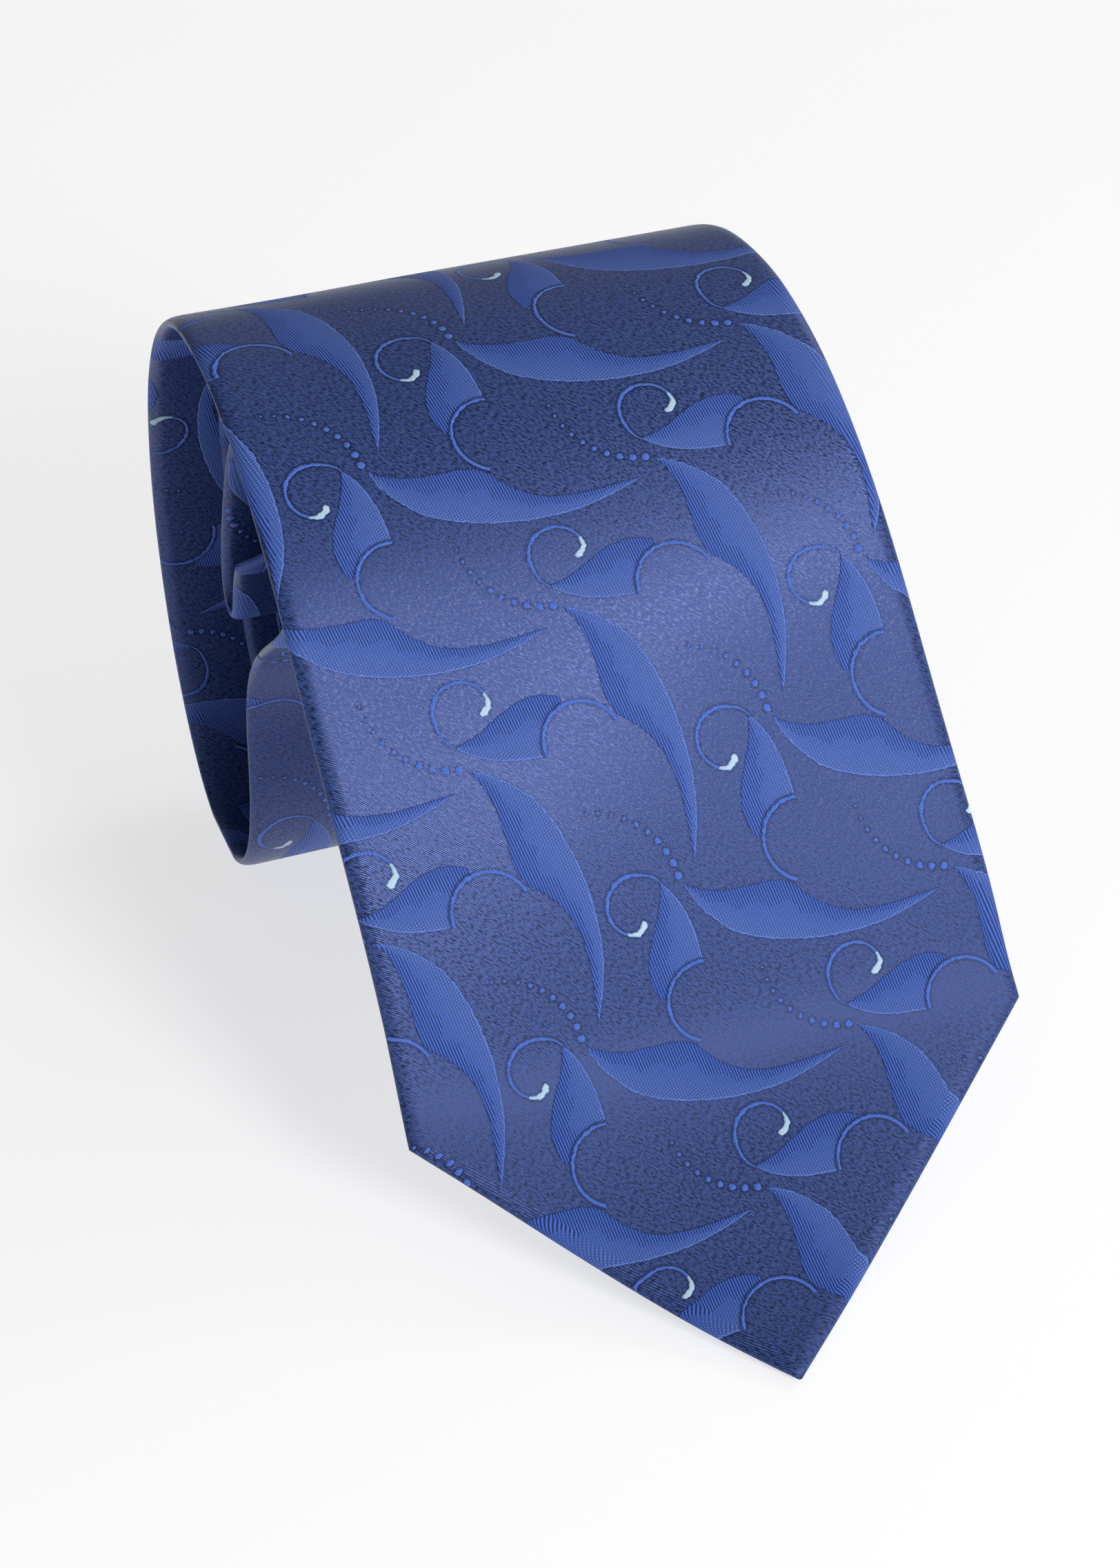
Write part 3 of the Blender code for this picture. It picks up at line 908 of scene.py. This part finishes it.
def tipping_half(s):
    """Half the width of the lining that shows between the shell's back edges."""
    return np.minimum(opening(s) + UNDER_HEM, half_width(s) - TIPPING_MARGIN)


def wool(name, start, end):
    """A length of the tie's wool interlining."""
    return flat_strip(name, start, end, 3.0, wool_half, 0, WOOL_THICKNESS, WOOL, 10)


def tipping(name, start, end, columns):
    """The lining behind one point of the tie."""
    return flat_strip(
        name, start, end, 2.0, tipping_half, -TIPPING_DEEP, TIPPING_THICKNESS, TIPPING, columns
    )


blade_cloth = shell("blade_cloth", CLOTH_START, SPLIT, 1.4, SILK)
roll_cloth = shell("roll_cloth", SPLIT, BLADE_SEAM - JOIN_GAP, 2.4, SILK)
neck_cloth = shell("neck_cloth", BLADE_SEAM + JOIN_GAP, TAIL_SEAM - JOIN_GAP, 2.4, SILK)
tail_cloth = shell("tail_cloth", TAIL_SEAM + JOIN_GAP, CLOTH_END, 1.8, SILK)

blade_wool = wool("blade_wool", WOOL_START, SPLIT)
roll_wool = wool("roll_wool", SPLIT, LINING_JOIN - WOOL_GAP)
tail_wool = wool("tail_wool", LINING_JOIN + WOOL_GAP, LENGTH - WOOL_START)
blade_lining = tipping("blade_lining", *BLADE_TIPPING, 24)
tail_lining = tipping("tail_lining", *TAIL_TIPPING, 16)

blade_seam_stitch = seam_thread("blade_seam_stitch", BLADE_V_END, SPLIT, THREAD)
roll_seam_stitch = seam_thread("roll_seam_stitch", SPLIT, LENGTH - TAIL_V_LENGTH, THREAD)
blade_bar = bar("blade_bar", BLADE_V_END + 2, 7.0, 1.6, THREAD)
tail_bar = bar("tail_bar", LENGTH - TAIL_V_LENGTH - 2, 6.0, 1.6, THREAD)
blade_join = cross_seam("blade_join", BLADE_SEAM, THREAD)
tail_join = cross_seam("tail_join", TAIL_SEAM, THREAD)
spare_loop = slack_loop("spare_loop", LENGTH - TAIL_V_LENGTH, THREAD)

keeper = patch("keeper", KEEPER_START, KEEPER_WIDTH, KEEPER_HALF, SILK)
label = patch("label", LABEL_START, LABEL_LENGTH, LABEL_HALF, LABEL)
keeper_ends = [
    stitch_row(f"keeper_end_{side}", sign * KEEPER_HALF, KEEPER_START, KEEPER_WIDTH, 1.7, THREAD)
    for side, sign in (("left", -1), ("right", 1))
]
label_ends = [
    stitch_row(f"label_end_{side}", sign * LABEL_HALF, LABEL_START, LABEL_LENGTH, 2.2, THREAD)
    for side, sign in (("left", -1), ("right", 1))
]

# What each piece stands for in the CAD, and its slot
STANDS_FOR = (
    (blade_cloth, "jacquard_silk", "front_blade_shell", "rolled_blade_shell"),
    (roll_cloth, "jacquard_silk", "rolled_blade_shell"),
    (neck_cloth, "jacquard_silk", "neck_shell"),
    (tail_cloth, "jacquard_silk", "tail_shell"),
    (blade_wool, "wool_interlining", "front_blade_interlining", "blade_interlining"),
    (roll_wool, "wool_interlining", "blade_interlining"),
    (tail_wool, "wool_interlining", "tail_interlining"),
    (blade_lining, "tipping_silk", "blade_tipping"),
    (tail_lining, "tipping_silk", "tail_tipping"),
    (blade_seam_stitch, "silk_thread", "front_slip_stitch", "slip_stitch"),
    (roll_seam_stitch, "silk_thread", "slip_stitch"),
    (blade_bar, "silk_thread", "blade_bar_tack"),
    (tail_bar, "silk_thread", "tail_bar_tack"),
    (blade_join, "silk_thread", "blade_seam_thread"),
    (tail_join, "silk_thread", "tail_seam_thread"),
    (spare_loop, "silk_thread", "slack_loop"),
    (keeper, "jacquard_silk", "keeper_loop"),
    (label, "woven_label", "blank_label"),
    (keeper_ends[0], "silk_thread", "keeper_stitch_left"),
    (keeper_ends[1], "silk_thread", "keeper_stitch_right"),
    (label_ends[0], "silk_thread", "label_stitch_left"),
    (label_ends[1], "silk_thread", "label_stitch_right"),
)
BENDING = (blade_cloth, blade_wool, blade_seam_stitch)
ON_BLADE = (blade_lining, blade_bar)
for each, slot_name, *nodes in STANDS_FOR:
    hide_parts(*nodes)
    if each in BENDING:
        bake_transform(each)
    elif each in ON_BLADE:
        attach(each, "front_blade")
    else:
        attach(each, "roll")


def cut_size(start, end, width_at):
    """A piece of cloth's flat (width, length) in metres, and its area, before it is folded."""
    s = np.linspace(start, end, 2000)
    widths = width_at(s)
    area = float(((widths[1:] + widths[:-1]) / 2 * np.diff(s)).sum()) * MM * MM
    return (float(widths.max()) * MM, (end - start) * MM), area


def shell_width(s):
    """The silk's width laid open: the tie's face, and its two back halves to their edges."""
    return 2 * half_width(s) + 2 * (half_width(s) - opening(s))


def wool_width(s):
    return 2 * wool_half(s)


def tipping_width(s):
    return 2 * tipping_half(s)


# Each sheet of cloth: the piece, where it starts and ends, its width laid open, the piece it
# rests on, and the threads that hold it
SHEETS = (
    (blade_cloth, CLOTH_START, SPLIT, shell_width, blade_wool, (blade_bar, blade_seam_stitch)),
    (roll_cloth, SPLIT, BLADE_SEAM, shell_width, roll_wool, (roll_seam_stitch, blade_join)),
    (neck_cloth, BLADE_SEAM, TAIL_SEAM, shell_width, roll_wool, (tail_join,)),
    (tail_cloth, TAIL_SEAM, CLOTH_END, shell_width, tail_wool, (tail_bar, spare_loop)),
    (blade_wool, WOOL_START, SPLIT, wool_width, blade_cloth, ()),
    (roll_wool, SPLIT, LINING_JOIN, wool_width, roll_cloth, ()),
    (tail_wool, LINING_JOIN, LENGTH - WOOL_START, wool_width, tail_cloth, ()),
    (blade_lining, *BLADE_TIPPING, tipping_width, blade_wool, ()),
    (tail_lining, *TAIL_TIPPING, tipping_width, tail_wool, ()),
)
for each, start, end, width_at, under, beside in SHEETS:
    size, area = cut_size(start, end, width_at)

# ---------------------------------------------------------------------------------------------
# Floor, light and camera

HALF_FLOOR = 1.5
FLOOR_DROP = 0.0003        # keeps the floor just clear of the tie's lowest fold
LIGHT_AIM = (0, 0, 0.05)

floor_mesh = bpy.data.meshes.new("floor")
corners = [(x * HALF_FLOOR, y * HALF_FLOOR, 0) for x, y in ((-1, -1), (1, -1), (1, 1), (-1, 1))]
floor_mesh.from_pydata(corners, [], [(0, 1, 2, 3)])
# The floor shines a little of itself, so that it comes out near white under soft light.
paper, _, paper_shader = plain_material("Pale ground", (0.46, 0.46, 0.46), 0.95)
paper_shader.inputs["Emission Color"].default_value = (1, 1, 1, 1)
paper_shader.inputs["Emission Strength"].default_value = 0.67
floor = new_object("floor", floor_mesh, paper)
floor.location.z = -FLOOR_DROP


def area_light(name, where, size, power):
    """A round soft light at where, turned to the tie."""
    data = bpy.data.lights.new(name, "AREA")
    data.shape = "DISK"
    data.size = size
    data.energy = power
    light = bpy.data.objects.new(name, data)
    light.location = where
    towards = Vector(LIGHT_AIM) - Vector(where)
    light.rotation_euler = towards.to_track_quat("-Z", "Y").to_euler()
    bpy.context.scene.collection.objects.link(light)


area_light("window", (0.27, -0.79, 0.55), 0.32, 5.2)
area_light("right", (0.85, 0.35, 0.7), 0.6, 2.0)
world = bpy.data.worlds.new("studio")
world.use_nodes = True
# The room is bright on the right and dim on the left.
sky = world.node_tree
sky_at = sky.nodes.new("ShaderNodeTexCoord")
sky_parts = sky.nodes.new("ShaderNodeSeparateXYZ")
sky.links.new(sky_at.outputs["Generated"], sky_parts.inputs[0])
sky_level = Number(sky, sky_parts.outputs["X"]).math("MULTIPLY_ADD", 0.26, 0.27)
feed(sky, sky_level, sky.nodes["Background"].inputs["Strength"])
sky.nodes["Background"].inputs["Color"].default_value = (1, 1, 1, 1)
bpy.context.scene.world = world
bpy.context.scene.view_settings.view_transform = "Standard"

VIEW_AZIMUTH, VIEW_ELEVATION, VIEW_ROLL = -18.8, 38.5, -0.6
VIEW_DISTANCE = 0.450
VIEW_TARGET = Vector((-0.0003 - MIDDLE_X * MM, 0.0946 - MIDDLE_Y * MM, 0.030))
VIEW_LENS = 69.69

camera_data = bpy.data.cameras.new("camera")
camera_data.sensor_fit = "VERTICAL"
camera_data.sensor_height = 36
camera_data.lens = VIEW_LENS
camera_data.clip_start = 0.01
camera = bpy.data.objects.new("camera", camera_data)
azimuth, elevation = math.radians(VIEW_AZIMUTH), math.radians(VIEW_ELEVATION)
back = Vector((
    math.sin(azimuth) * math.cos(elevation),
    -math.cos(azimuth) * math.cos(elevation),
    math.sin(elevation),
))
right = Vector((math.cos(azimuth), math.sin(azimuth), 0))
up = back.cross(right)
turned = Matrix((right, up, back)).transposed().to_4x4()
turned = turned @ Matrix.Rotation(math.radians(VIEW_ROLL), 4, "Z")
camera.matrix_world = Matrix.Translation(VIEW_TARGET + back * VIEW_DISTANCE) @ turned
bpy.context.scene.collection.objects.link(camera)
bpy.context.scene.camera = camera
